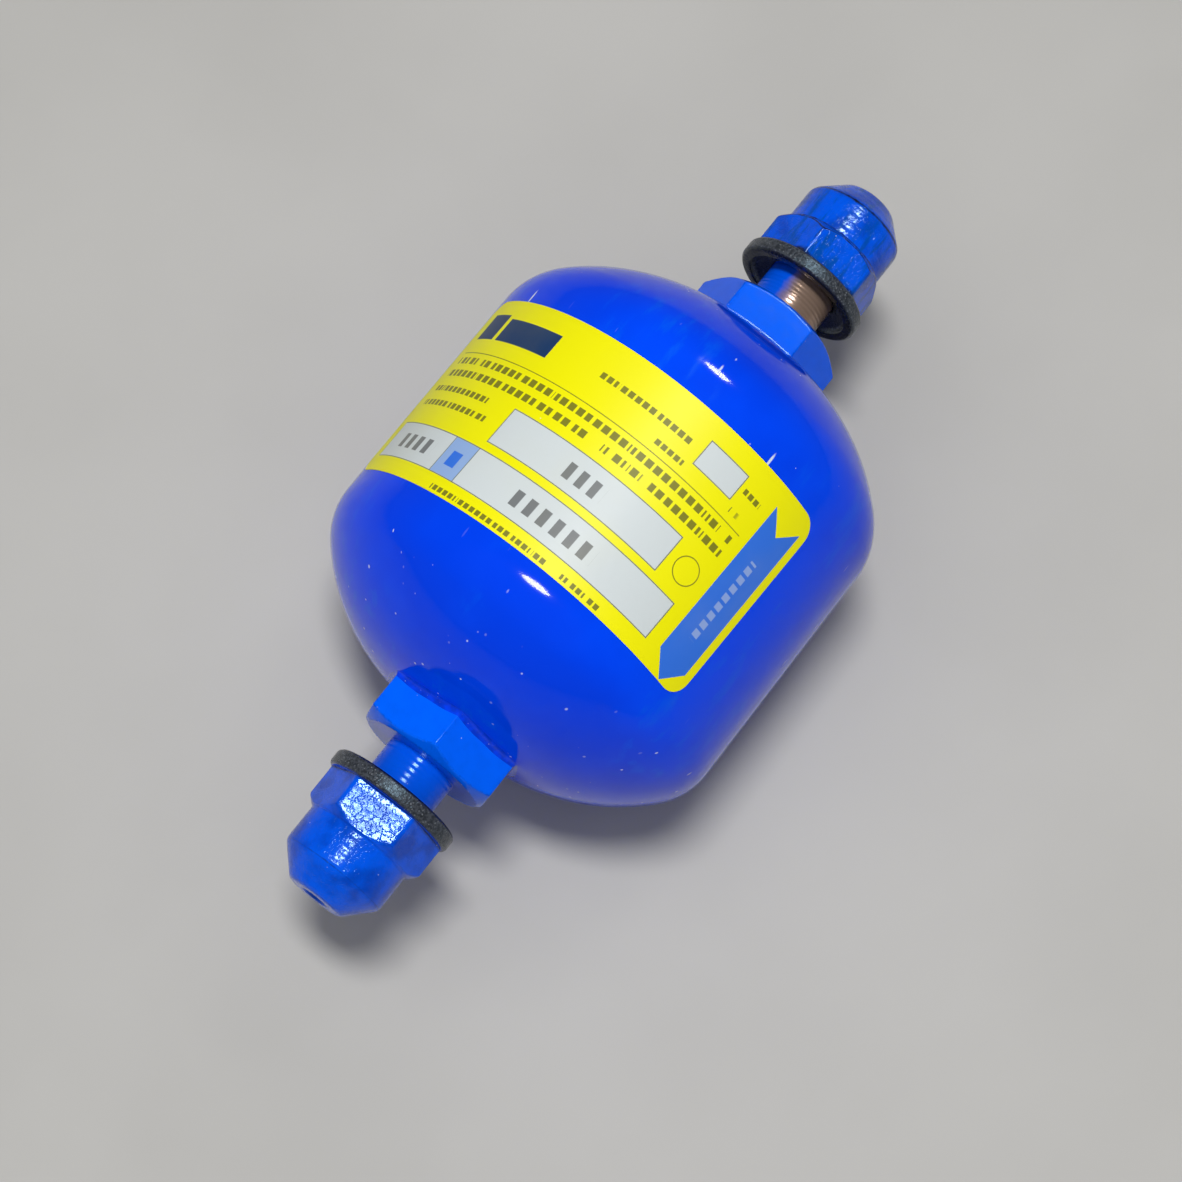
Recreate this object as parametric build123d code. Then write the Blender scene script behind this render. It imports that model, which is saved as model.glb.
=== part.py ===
from build123d import *
import os
from math import asin, cos, degrees, pi, radians, sin, sqrt, tan

# Filter drier with flare ends and transport caps. Millimetres. The axis is X, and the flow is towards +X.
# The origin is the middle of the shell, on its axis. +Z is up with the label on top.

# ---- shell: one steel tube, both ends spun shut down to a flat seat
SHELL_DIAMETER = 65.0
SHELL_WALL = 1.5
BARREL_LENGTH = 40.0        # straight part between the shoulders
SHELL_LENGTH = 70.4         # over the two flat seats
SHOULDER_RADIUS = 6.5
SEAT_DIAMETER = 14.0        # flat in the middle of each end, where the dome starts

# ---- end fittings: turned steel, hexagon, flare thread, plain spigot through the shell
HEX_ACROSS_FLATS = 20.6
HEX_LENGTH = 6.7
HEX_FACE_SHARE = 0.93       # diameter of the turned face over the hexagon's flats
CHAMFER_ANGLE = 30.0
THREAD_DIAMETER = 11.0      # crests of the 7/16-20 flare thread
THREAD_LENGTH = 12.4
NOSE_DIAMETER = 9.4         # foot of the 45 degree flare cone
NOSE_LENGTH = 2.1
NOSE_TIP_WALL = 0.8
FLOW_BORE = 4.8
SPIGOT_DIAMETER = 13.0
SPIGOT_REACH = 1.2          # how far the spigot stands inside the shell
SPIGOT_CLEARANCE = 0.05
CUT_PAST = 1.0              # how far a cutting tool runs past the face that it opens
BRAZE_LEG = 1.1             # height of the fillet up the hexagon's flats
BRAZE_SPREAD = 1.8          # reach of the fillet out along the shell, from the flats
BRAZE_THROAT = 0.3          # hollow of the fillet, as a share of the leg and the spread
BRAZE_ROOT = 2.0            # from the spigot to where the braze stops, under the hexagon
INLET_HEX_TURN = 36.5
OUTLET_HEX_TURN = 11.0

# ---- label
LABEL_WIDTH = 31.7          # along the axis
LABEL_WRAP = 69.0           # round the barrel
LABEL_THICKNESS = 0.08
LABEL_CORNER = 3.0
LABEL_SHIFT = 1.0           # towards the outlet
LABEL_TURN = -7.5           # degrees from the top, towards +Y

# ---- transport caps: moulded, flange, hexagon, round body and cone
CAP_GAP = 5.5               # thread left bare between the hexagon and the cap
CAP_FLANGE_DIAMETER = 20.4
CAP_FLANGE_THICKNESS = 2.5
CAP_LIP_SHARE = 0.16        # bevel on the flange's two edges, as a share of its thickness
CAP_HEX_ACROSS_CORNERS = 19.2
CAP_HEX_LENGTH = 6.0
CAP_HEX_ROUNDING = 0.8
CAP_HEX_BEVEL = 1.1         # length of the bevel where the corners run out
CAP_BODY_DIAMETER = 16.3
CAP_LENGTH = 18.4
CAP_TIP_DIAMETER = 8.8
CAP_CONE_LENGTH = 4.0
CAP_MOUTH_DIAMETER = 16.8
CAP_MOUTH_DEPTH = 1.6
CAP_MOUTH_DRAFT = 0.3
CAP_THREAD_CLEARANCE = 0.08
CAP_DIMPLE_DIAMETER = 4.2
CAP_DIMPLE_DEPTH = 0.9
CAP_DIMPLE_FLOOR = 0.6      # share of the dimple's diameter left at its floor
INLET_CAP_TURN = 53.0
OUTLET_CAP_TURN = 36.0
SEAL_THICKNESS = 1.5
SEAL_CLEARANCE = 0.15       # round the seal's rim
SEAL_GAP = 0.03             # between the seal and the flare nose, and behind the seal

# ---- inside: perforated cup, screen, pads, core, spring plate and spring
CUP_WALL = 1.2
CUP_DEPTH = 5.0
CUP_CLEARANCE = 0.1
HOLE_DIAMETER = 4.0
HOLE_RING_STEP = 6.4
HOLE_RINGS = 3
SCREEN_MARGIN = 6.9         # from the cup's rim in to the screen's edge
SCREEN_THICKNESS = 0.35
PAD_THICKNESS = 3.0
PAD_CLEARANCE = 0.2
GASKET_WALL = 2.45          # between the core and the cup's wall
GASKET_THICKNESS = 1.2
GASKET_LIP = 4.0
GASKET_OVERLAP = 4.5
GASKET_CLEARANCE = 0.05
CORE_LENGTH = 30.0
CORE_CHAMFER = 1.5
CORE_BORE = 18.0
CORE_BORE_DEPTH = 22.0
CORE_BORE_TAPER = 0.9       # narrower at the blind end by this much, all round
CORE_BORE_CORNER = 2.0
INLET_PAD_MARGIN = 2.0      # from the core's edge in to the pad's edge
INLET_PAD_THICKNESS = 2.0
SPRING_PLATE_THICKNESS = 1.0
SPRING_PLATE_MARGIN = 3.0   # from the core's edge in to the plate's edge
LUG_COUNT = 3
LUG_WIDTH = 9.0
LUG_LIP = 4.0
LUG_CLEARANCE = 0.15
PLATE_HOLE_DIAMETER = 7.0
PLATE_HOLE_COUNT = 6
PLATE_HOLE_CIRCLE = 27.0
SPRING_WIRE = 1.6
SPRING_WIRE_SIDES = 8       # the wire's round section is drawn with this many sides
SPRING_TURNS = 3.5
SPRING_SMALL_DIAMETER = 20.0
SPRING_LARGE_DIAMETER = 40.0
SPRING_CLEARANCE = 0.05

# ---- places worked out from the sizes above
shell_radius = SHELL_DIAMETER / 2
inner_radius = shell_radius - SHELL_WALL
half_barrel = BARREL_LENGTH / 2
seat_x = SHELL_LENGTH / 2
hex_end_x = seat_x + HEX_LENGTH
nose_x = hex_end_x + THREAD_LENGTH + NOSE_LENGTH
cap_x = hex_end_x + CAP_GAP
thread_radius = THREAD_DIAMETER / 2
spigot_radius = SPIGOT_DIAMETER / 2
bore_radius = FLOW_BORE / 2

# The dome arc is tangent to the flat seat and to the shoulder arc, so its radius and centre follow from them.
dome_depth = seat_x - half_barrel
dome_centre_r = SEAT_DIAMETER / 2
dome_rise = shell_radius - SHOULDER_RADIUS - dome_centre_r
dome_radius = (dome_depth**2 + dome_rise**2 - SHOULDER_RADIUS**2) / (2 * (dome_depth - SHOULDER_RADIUS))
dome_centre_x = seat_x - dome_radius
shoulder_turn = asin((half_barrel - dome_centre_x) / (dome_radius - SHOULDER_RADIUS))

cup_radius = inner_radius - CUP_CLEARANCE
inner_shoulder = SHOULDER_RADIUS - SHELL_WALL
cup_x = half_barrel + sqrt(inner_shoulder**2 - (inner_shoulder - CUP_CLEARANCE) ** 2) - CUP_CLEARANCE
cup_inside_x = cup_x - CUP_WALL
screen_radius = cup_radius - SCREEN_MARGIN
pad_radius = cup_radius - CUP_WALL - PAD_CLEARANCE
core_radius = pad_radius - GASKET_WALL - GASKET_CLEARANCE
pad_x = cup_inside_x - PAD_THICKNESS
core_end_x = pad_x - GASKET_THICKNESS
core_start_x = core_end_x - CORE_LENGTH
inlet_pad_x = core_start_x - INLET_PAD_THICKNESS
spring_plate_x = inlet_pad_x - SPRING_PLATE_THICKNESS


def dome_x(radius, inset=0.0):
    """Where the shell's end, or a surface that lies inset inside it, is at this radius."""
    if radius < dome_centre_r:
        return seat_x - inset
    return dome_centre_x + sqrt((dome_radius - inset) ** 2 - (radius - dome_centre_r) ** 2)


def slope_degrees(rise, run):
    """The angle of a slope, in degrees."""
    return degrees(asin(rise / sqrt(rise**2 + run**2)))


def ring(x0, x1, outer, inner=0.0):
    """A washer or disc round the X axis, from x0 to x1."""
    solid = Cylinder(outer, x1 - x0, align=(Align.CENTER, Align.CENTER, Align.MIN))
    if inner > 0:
        solid -= Cylinder(inner, x1 - x0, align=(Align.CENTER, Align.CENTER, Align.MIN))
    return Pos(x0, 0, 0) * Rot(0, 90, 0) * solid


def turned(points):
    """A solid of revolution round the X axis from a closed outline of (x, radius) points."""
    return revolve(make_face(Polyline(*points, close=True)), Axis.X)


def hexagon(x0, length, corner_radius, turn, rounding=0.0):
    """A hexagonal bar round the X axis. turn is a corner's angle from the top, towards +Y."""
    outline = RegularPolygon(corner_radius, 6, major_radius=True)
    if rounding > 0:
        outline = fillet(outline.vertices(), rounding)
    bar = extrude(Plane.YZ.offset(x0) * outline, length)
    return Rot(90 - turn, 0, 0) * bar


def mirrored(solid):
    """The same piece made for the inlet end, by half a turn round the upright axis."""
    return Rot(0, 0, 180) * solid


def end_form(inset):
    """One end of the shell as a solid form, from the barrel's middle to the flat seat, inset all over."""
    shoulder = SHOULDER_RADIUS - inset
    dome = dome_radius - inset
    centre_r = shell_radius - SHOULDER_RADIUS
    start = (0, shell_radius - inset)
    barrel_end = (half_barrel, shell_radius - inset)

    def on_shoulder(angle):
        return (half_barrel + shoulder * sin(angle), centre_r + shoulder * cos(angle))

    def on_dome(angle):
        return (dome_centre_x + dome * sin(angle), dome_centre_r + dome * cos(angle))

    seat = (seat_x - inset, dome_centre_r)
    middle = (shoulder_turn + pi / 2) / 2
    outline = Wire([
        Line(start, barrel_end),
        ThreePointArc(barrel_end, on_shoulder(shoulder_turn / 2), on_shoulder(shoulder_turn)),
        ThreePointArc(on_shoulder(shoulder_turn), on_dome(middle), seat),
        Line(seat, (seat[0], 0)),
        Line((seat[0], 0), (0, 0)),
        Line((0, 0), start),
    ])
    return revolve(make_face(outline), Axis.X)


def make_shell():
    """The shell wall, spun in one piece, with a hole in each seat for the fitting's spigot."""
    half = end_form(0.0) - end_form(SHELL_WALL)
    half -= ring(seat_x - SHELL_WALL - CUT_PAST, seat_x + CUT_PAST, spigot_radius + SPIGOT_CLEARANCE)
    return half + mirrored(half)


def make_fitting(turn):
    """One end fitting, turned from hexagon bar: spigot, chamfered hexagon, threaded shank and flare nose."""
    corner = HEX_ACROSS_FLATS / 2 / cos(pi / 6)
    face_radius = HEX_ACROSS_FLATS / 2 * HEX_FACE_SHARE
    bevel = (corner - face_radius) * tan(radians(CHAMFER_ANGLE))
    body = hexagon(seat_x, HEX_LENGTH, corner, turn)
    body &= turned([
        (seat_x, 0), (seat_x, corner), (hex_end_x - bevel, corner), (hex_end_x, face_radius), (hex_end_x, 0),
    ])
    nose_start_x = nose_x - NOSE_LENGTH
    nose_radius = NOSE_DIAMETER / 2
    tip_radius = bore_radius + NOSE_TIP_WALL
    lead_in = thread_radius - nose_radius
    body += turned([
        (seat_x, 0), (seat_x, thread_radius), (nose_start_x - lead_in, thread_radius),
        (nose_start_x, nose_radius), (nose_x - (nose_radius - tip_radius), nose_radius),
        (nose_x, tip_radius), (nose_x, 0),
    ])
    inner_x = seat_x - SHELL_WALL - SPIGOT_REACH
    body += ring(inner_x, hex_end_x, spigot_radius)
    return body - ring(inner_x - CUT_PAST, nose_x + CUT_PAST, bore_radius)


def make_braze(turn):
    """The fillet of braze that closes the corner between the hexagon and the shell."""
    flats = HEX_ACROSS_FLATS / 2
    inner = spigot_radius + BRAZE_ROOT
    outer = flats + BRAZE_SPREAD
    below = dome_x(outer) - CUT_PAST
    top = (seat_x + BRAZE_LEG, flats)
    throat_radius = flats + BRAZE_SPREAD * BRAZE_THROAT
    throat = (dome_x(throat_radius) + BRAZE_LEG * BRAZE_THROAT, throat_radius)
    face = make_face(Wire([
        ThreePointArc(top, throat, (dome_x(outer), outer)),
        Line((dome_x(outer), outer), (below, outer)),
        Line((below, outer), (below, inner)),
        Line((below, inner), (top[0], inner)),
        Line((top[0], inner), top),
    ]))
    corner = flats / cos(pi / 6)
    return revolve(face, Axis.X) - hexagon(seat_x, HEX_LENGTH, corner, turn) - end_form(0.0)


def make_label():
    """The printed label: a thin curved sheet with rounded corners, lying on the barrel."""
    inner = shell_radius + 0.01
    outer = inner + LABEL_THICKNESS
    low, high = LABEL_SHIFT - LABEL_WIDTH / 2, LABEL_SHIFT + LABEL_WIDTH / 2
    wrap = degrees(LABEL_WRAP / shell_radius)
    corner_wrap = degrees(LABEL_CORNER / shell_radius)
    outline = Polyline((low, inner), (high, inner), (high, outer), (low, outer), close=True)
    # The turned band starts at +Y and runs towards +Z, so it is turned back until its middle is at the top.
    sheet = Rot(90 - wrap / 2, 0, 0) * revolve(make_face(outline), Axis.X, revolution_arc=wrap)
    for x, x_side in ((low + LABEL_CORNER, -1), (high - LABEL_CORNER, 1)):
        for y_side in (-1, 1):
            square = Pos(x_side * LABEL_CORNER, y_side * LABEL_CORNER, 0) * Box(
                2 * LABEL_CORNER, 2 * LABEL_CORNER, LABEL_CORNER
            )
            waste = square - Cylinder(LABEL_CORNER, 2 * LABEL_CORNER)
            sheet -= Rot(y_side * (corner_wrap - wrap / 2), 0, 0) * Pos(x, 0, shell_radius) * waste
    return Rot(-LABEL_TURN, 0, 0) * sheet


def make_cap(turn):
    """A moulded transport cap: flange, hexagon that runs out into the round body, cone and a gate dimple."""
    flange_x = cap_x + CAP_FLANGE_THICKNESS
    hex_x = flange_x + CAP_HEX_LENGTH
    end_x = cap_x + CAP_LENGTH
    cone_x = end_x - CAP_CONE_LENGTH
    flange_radius = CAP_FLANGE_DIAMETER / 2
    corner = CAP_HEX_ACROSS_CORNERS / 2
    body_radius = CAP_BODY_DIAMETER / 2
    lip = CAP_FLANGE_THICKNESS * CAP_LIP_SHARE
    cap = turned([
        (cap_x, 0), (cap_x, flange_radius - lip), (cap_x + lip, flange_radius),
        (flange_x - lip, flange_radius), (flange_x, flange_radius - lip), (flange_x, body_radius),
        (cone_x, body_radius), (end_x, CAP_TIP_DIAMETER / 2), (end_x, 0),
    ])
    grip = hexagon(flange_x - lip, CAP_HEX_LENGTH + lip, corner, turn, CAP_HEX_ROUNDING)
    grip &= turned([
        (cap_x, 0), (cap_x, corner), (hex_x - CAP_HEX_BEVEL, corner),
        (hex_x, corner - CAP_HEX_BEVEL), (hex_x, 0),
    ])
    cap += grip
    hollow_x = nose_x + 2 * SEAL_GAP + SEAL_THICKNESS
    hollow_radius = thread_radius + CAP_THREAD_CLEARANCE
    mouth = CAP_MOUTH_DIAMETER / 2
    cap -= turned([
        (cap_x - CUT_PAST, 0), (cap_x - CUT_PAST, mouth), (cap_x, mouth),
        (cap_x + CAP_MOUTH_DEPTH / 2, mouth - CAP_MOUTH_DRAFT),
        (cap_x + CAP_MOUTH_DEPTH, hollow_radius), (hollow_x, hollow_radius), (hollow_x, 0),
    ])
    dimple = CAP_DIMPLE_DIAMETER / 2
    cap -= turned([
        (end_x - CAP_DIMPLE_DEPTH, 0), (end_x - CAP_DIMPLE_DEPTH, dimple * CAP_DIMPLE_FLOOR), (end_x, dimple),
        (end_x + CUT_PAST, dimple), (end_x + CUT_PAST, 0),
    ])
    return cap


def make_seal():
    """The soft disc in the cap that closes on the flare nose."""
    start = nose_x + SEAL_GAP
    return ring(start, start + SEAL_THICKNESS, thread_radius + CAP_THREAD_CLEARANCE - SEAL_CLEARANCE)


def make_perforated_cup():
    """The pressed cup at the outlet end. Its rim sits where the shell starts to curve in."""
    cup = turned([
        (cup_x, 0), (cup_x, cup_radius - CUP_WALL), (cup_x - CUP_WALL, cup_radius),
        (cup_x - CUP_DEPTH, cup_radius), (cup_x - CUP_DEPTH, cup_radius - CUP_WALL),
        (cup_inside_x, cup_radius - CUP_WALL), (cup_inside_x, 0),
    ])
    drill = ring(cup_inside_x - CUT_PAST, cup_x + CUT_PAST, HOLE_DIAMETER / 2)
    holes = [drill]
    for row in range(1, HOLE_RINGS + 1):
        for step in range(6 * row):
            holes.append(Rot(360 / (6 * row) * step, 0, 0) * Pos(0, row * HOLE_RING_STEP, 0) * drill)
    return cup - holes


def make_gasket():
    """The moulded ring that centres the core in the cup and makes the refrigerant pass through the core."""
    return turned([
        (pad_x, core_radius - GASKET_OVERLAP), (pad_x, pad_radius), (core_end_x - GASKET_LIP, pad_radius),
        (core_end_x - GASKET_LIP, core_radius + GASKET_CLEARANCE),
        (core_end_x, core_radius + GASKET_CLEARANCE),
        (core_end_x, core_radius - GASKET_OVERLAP),
    ])


def make_core():
    """The moulded desiccant block, with a blind bore that opens to the outlet."""
    blank = ring(core_start_x, core_end_x, core_radius)
    core = chamfer(blank.edges().filter_by(GeomType.CIRCLE), CORE_CHAMFER)
    depth_x = core_end_x - CORE_BORE_DEPTH
    bore = CORE_BORE / 2
    blind = bore - CORE_BORE_TAPER
    return core - turned([
        (depth_x, 0), (depth_x, blind - CORE_BORE_CORNER), (depth_x + CORE_BORE_CORNER, blind),
        (core_end_x, bore), (core_end_x + CUT_PAST, bore), (core_end_x + CUT_PAST, 0),
    ])


def make_spring_plate():
    """The pressed plate that spreads the spring's load. Its lugs keep the core in the middle of the shell."""
    plate = ring(spring_plate_x, inlet_pad_x, core_radius - SPRING_PLATE_MARGIN)
    reach = inner_radius - LUG_CLEARANCE
    arm = Box(SPRING_PLATE_THICKNESS, reach + CUT_PAST, LUG_WIDTH, align=(Align.MIN, Align.MIN, Align.CENTER))
    arm += Pos(0, reach - SPRING_PLATE_THICKNESS, 0) * Box(
        LUG_LIP, SPRING_PLATE_THICKNESS + CUT_PAST, LUG_WIDTH, align=(Align.MIN, Align.MIN, Align.CENTER)
    )
    lug = Pos(spring_plate_x, 0, 0) * arm & ring(spring_plate_x, spring_plate_x + LUG_LIP, reach)
    for step in range(LUG_COUNT):
        plate += Rot(360 / LUG_COUNT * step, 0, 0) * lug
    drill = ring(spring_plate_x - CUT_PAST, inlet_pad_x + CUT_PAST, PLATE_HOLE_DIAMETER / 2)
    for step in range(PLATE_HOLE_COUNT):
        turn = 360 / PLATE_HOLE_COUNT * (step + 0.5)
        plate -= Rot(turn, 0, 0) * Pos(0, PLATE_HOLE_CIRCLE / 2, 0) * drill
    return plate - drill


def make_spring():
    """The conical spring, small end round the inlet spigot and large end on the spring plate."""
    wire = SPRING_WIRE / 2
    small = SPRING_SMALL_DIAMETER / 2
    large = SPRING_LARGE_DIAMETER / 2
    far_x = -dome_x(small + wire, SHELL_WALL) + wire + SPRING_CLEARANCE
    near_x = spring_plate_x - wire - SPRING_CLEARANCE
    height = near_x - far_x
    cone = slope_degrees(large - small, height)
    coil = Helix(height / SPRING_TURNS, height, small, cone_angle=cone)
    section = Plane(origin=coil @ 0, z_dir=coil % 0) * RegularPolygon(wire, SPRING_WIRE_SIDES)
    return Pos(far_x, 0, 0) * Rot(0, 90, 0) * sweep(section, coil, is_frenet=True)


PIECES = {
    "shell": make_shell(),
    "inlet_fitting": mirrored(make_fitting(-INLET_HEX_TURN)),
    "outlet_fitting": make_fitting(OUTLET_HEX_TURN),
    "inlet_braze": mirrored(make_braze(-INLET_HEX_TURN)),
    "outlet_braze": make_braze(OUTLET_HEX_TURN),
    "label": make_label(),
    "inlet_cap": mirrored(make_cap(-INLET_CAP_TURN)),
    "outlet_cap": make_cap(OUTLET_CAP_TURN),
    "inlet_cap_seal": mirrored(make_seal()),
    "outlet_cap_seal": make_seal(),
    "perforated_cup": make_perforated_cup(),
    "outlet_screen": ring(cup_x, cup_x + SCREEN_THICKNESS, screen_radius),
    "outlet_pad": ring(pad_x, cup_inside_x, pad_radius),
    "core_gasket": make_gasket(),
    "core_block": make_core(),
    "inlet_pad": ring(inlet_pad_x, core_start_x, core_radius - INLET_PAD_MARGIN),
    "spring_plate": make_spring_plate(),
    "spring": make_spring(),
}

os.makedirs("parts", exist_ok=True)
for name, piece in PIECES.items():
    piece.label = name
    export_step(piece, f"parts/{name}.step")
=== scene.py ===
from math import asin, atan2, cos, pi, radians, sin, sqrt, tan

import bmesh
import bpy
import numpy as np
from mathutils import Euler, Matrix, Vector


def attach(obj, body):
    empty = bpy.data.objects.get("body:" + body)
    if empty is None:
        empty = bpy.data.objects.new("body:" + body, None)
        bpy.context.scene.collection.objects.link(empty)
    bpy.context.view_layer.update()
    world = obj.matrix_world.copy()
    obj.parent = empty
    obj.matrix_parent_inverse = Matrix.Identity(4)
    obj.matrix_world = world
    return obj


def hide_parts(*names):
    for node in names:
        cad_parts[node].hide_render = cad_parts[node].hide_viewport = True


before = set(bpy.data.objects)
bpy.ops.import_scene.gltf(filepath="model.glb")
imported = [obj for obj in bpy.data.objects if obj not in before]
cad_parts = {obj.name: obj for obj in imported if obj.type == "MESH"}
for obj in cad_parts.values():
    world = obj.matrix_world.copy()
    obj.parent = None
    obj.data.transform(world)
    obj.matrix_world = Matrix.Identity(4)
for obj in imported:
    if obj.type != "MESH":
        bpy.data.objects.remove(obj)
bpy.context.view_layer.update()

# ---- Shell
# A steel tube with both ends spun shut down to a flat seat, in one piece with no seam, then sprayed and
# stoved in a thick cobalt enamel. It has picked up dust, a few nicks and hair scratches in handling.
# Sizes here and below are in millimetres, and x runs along the drier from its middle towards the outlet.
SHELL_RADIUS = 32.5
SHELL_WALL = 1.5
HALF_BARREL = 18.2
SEAT_X = 35.2
SEAT_RADIUS = 7.0
SHOULDER_RADIUS = 10.0
SPIGOT_RADIUS = 6.5
SPIGOT_FIT = 0.05
SHELL_FACETS = 216

dome_depth = SEAT_X - HALF_BARREL
dome_rise = SHELL_RADIUS - SHOULDER_RADIUS - SEAT_RADIUS
dome_radius = (dome_depth**2 + dome_rise**2 - SHOULDER_RADIUS**2) / (dome_depth - SHOULDER_RADIUS) / 2
dome_centre = SEAT_X - dome_radius
shoulder_turn = asin((HALF_BARREL - dome_centre) / (dome_radius - SHOULDER_RADIUS))


def dome_at(radius):
    """How far along the axis the shell's outside is, at a distance from the axis."""
    if radius <= SEAT_RADIUS:
        return SEAT_X
    return dome_centre + sqrt(dome_radius**2 - (radius - SEAT_RADIUS) ** 2)


def shell_end(inset, steps):
    """One end of the shell as (x, radius) points from its spigot hole out to the middle of the barrel."""
    dome, shoulder = dome_radius - inset, SHOULDER_RADIUS - inset
    centre = SHELL_RADIUS - SHOULDER_RADIUS
    points = [(SEAT_X - inset, SPIGOT_RADIUS + SPIGOT_FIT)]
    for turn in np.linspace(pi / 2, shoulder_turn, steps):
        points.append((dome_centre + dome * sin(turn), SEAT_RADIUS + dome * cos(turn)))
    for turn in np.linspace(shoulder_turn, 0, steps)[1:]:
        points.append((HALF_BARREL + shoulder * sin(turn), centre + shoulder * cos(turn)))
    for x in np.linspace(HALF_BARREL, 0, 6)[1:]:
        points.append((x, SHELL_RADIUS - inset))
    return points


def skin(name, outline, angles, closed=True, crease=35):
    """Lofts a piece round the axis. outline(angle) gives as many (x, radius, edge) points at every angle, in
    millimetres. An angle is measured from the top towards the label's right side. The edge value, 1 on an
    eased edge, is kept for the finish."""
    rows = np.array([outline(angle) for angle in angles], float)
    turned = np.stack([
        rows[..., 0],
        rows[..., 1] * np.sin(angles)[:, None],
        rows[..., 1] * np.cos(angles)[:, None],
    ], -1)
    columns, count = turned.shape[:2]
    last = count if closed else count - 1
    faces = [
        (i * count + j, i * count + (j + 1) % count,
         (i + 1) % columns * count + (j + 1) % count, (i + 1) % columns * count + j)
        for i in range(columns) for j in range(last)
    ]
    mesh = bpy.data.meshes.new(name)
    mesh.from_pydata((turned.reshape(-1, 3) / 1000).tolist(), [], faces)
    mesh.attributes.new("edge", "FLOAT", "POINT").data.foreach_set("value", rows[..., 2].ravel())
    piece = bpy.data.objects.new(name, mesh)
    bpy.context.scene.collection.objects.link(piece)
    settle(mesh, crease)
    return piece


def settle(mesh, crease):
    """Welds a mesh, turns its faces outwards, and shades it smooth apart from edges sharper than crease."""
    work = bmesh.new()
    work.from_mesh(mesh)
    bmesh.ops.remove_doubles(work, verts=work.verts, dist=1e-7)
    bmesh.ops.dissolve_degenerate(work, edges=work.edges, dist=1e-8)
    bmesh.ops.recalc_face_normals(work, faces=work.faces)
    for face in work.faces:
        face.smooth = True
    for edge in work.edges:
        edge.smooth = len(edge.link_faces) == 2 and edge.calc_face_angle(0) < radians(crease)
    work.to_mesh(mesh)
    work.free()


class Value:
    """One socket of a finish, so that what the finish does is written as ordinary sums."""

    def __init__(self, socket):
        self.socket = socket

    def node(self, kind, settings, values, output=0):
        """Another node of the same finish, from its type, its settings and its sockets' values or links."""
        tree = self.socket.id_data
        made = tree.nodes.new("ShaderNode" + kind)
        for name, value in settings.items():
            setattr(made, name, value)
        for key, value in values.items():
            if isinstance(value, Value):
                tree.links.new(value.socket, made.inputs[key])
            else:
                made.inputs[key].default_value = value
        return Value(made.outputs[output])

    def math(self, operation, *others):
        """A sum on this value and the others that it takes, by the Math node's name for it."""
        return self.node("Math", {"operation": operation}, dict(enumerate((self, *others))))

    def __add__(self, other):
        return self.math("ADD", other)

    def __sub__(self, other):
        return self.math("SUBTRACT", other)

    def __mul__(self, other):
        return self.math("MULTIPLY", other)

    def __truediv__(self, other):
        return self.math("DIVIDE", other)

    __radd__ = __add__
    __rmul__ = __mul__

    def __rsub__(self, other):
        return other + self * -1.0

    def at_most(self, limit):
        return self.math("MINIMUM", limit)

    def rise(self, low, high):
        """0 below low, 1 above high, and a smooth rise between them. With low above high it falls."""
        return self.node(
            "MapRange", {"interpolation_type": "SMOOTHSTEP"},
            {"Value": self, "From Min": low, "From Max": high},
        )

    def cover(self, under, over):
        """Colour under where this is 0, and colour over where it is 1."""
        return self.node("Mix", {"data_type": "RGBA"}, {0: self, 6: under, 7: over}, 2)


def new_finish(name):
    """A new finish: its material, its shader, and the place on the piece in millimetres."""
    material = bpy.data.materials.new(name)
    material.use_nodes = True
    nodes = material.node_tree.nodes
    start = Value(nodes.new("ShaderNodeTexCoord").outputs["Object"])
    place = start.node("VectorMath", {"operation": "SCALE"}, {0: start, "Scale": 1000.0})
    return material, nodes["Principled BSDF"], place


def feed(shader, **values):
    """Links or sets the shader's sockets, each named with _ for a space."""
    for name, value in values.items():
        socket = shader.inputs[name.replace("_", " ")]
        if isinstance(value, Value):
            shader.id_data.links.new(value.socket, socket)
        else:
            socket.default_value = value


def grain(place, scale, detail=2.0, roughness=0.5):
    """Cloudy noise from about 0 to 1, with scale in grains to the millimetre."""
    values = {"Vector": place, "Scale": scale, "Detail": detail, "Roughness": roughness}
    return place.node("TexNoise", {}, values)


def dots(place, scale, share, size):
    """Small round specks, in a share of the cells of a scale in cells to the millimetre."""
    distance = place.node("TexVoronoi", {}, {"Vector": place, "Scale": scale})
    cell = place.node("TexVoronoi", {}, {"Vector": place, "Scale": scale}, 1)
    pick = cell.node("SeparateColor", {}, {0: cell})
    wanted = pick.rise(1 - share, 1.0)
    return distance.rise(size * scale, size * scale * 0.45) * wanted


def bumped(place, height, depth):
    """A normal from a height, where a height of 1 stands for depth millimetres."""
    return place.node("Bump", {}, {"Height": height, "Distance": depth / 1000, "Strength": 1.0})


def scratches(place, turn, scale, share):
    """Short fine nicks that all lie one way, in a share of the cells."""
    laid = place.node("Mapping", {}, {0: place, "Rotation": turn, "Scale": (scale * 0.16, scale, scale)})
    return dots(laid, 1.0, share, 0.16)


COBALT = (0.0, 0.068, 1.0, 1)
COBALT_DEEP = (0.0, 0.052, 0.88, 1)
COBALT_PAINTED_SHEEN = (0.0, 0.105, 0.95, 1)
BLUE_SHEEN = (0.50, 0.78, 1.0, 1)
DUST = (0.70, 0.78, 0.90, 1)
DUSTY_BELOW, DUSTIEST_AT = 6, -26
PEEL_DEPTH = 0.010


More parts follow.
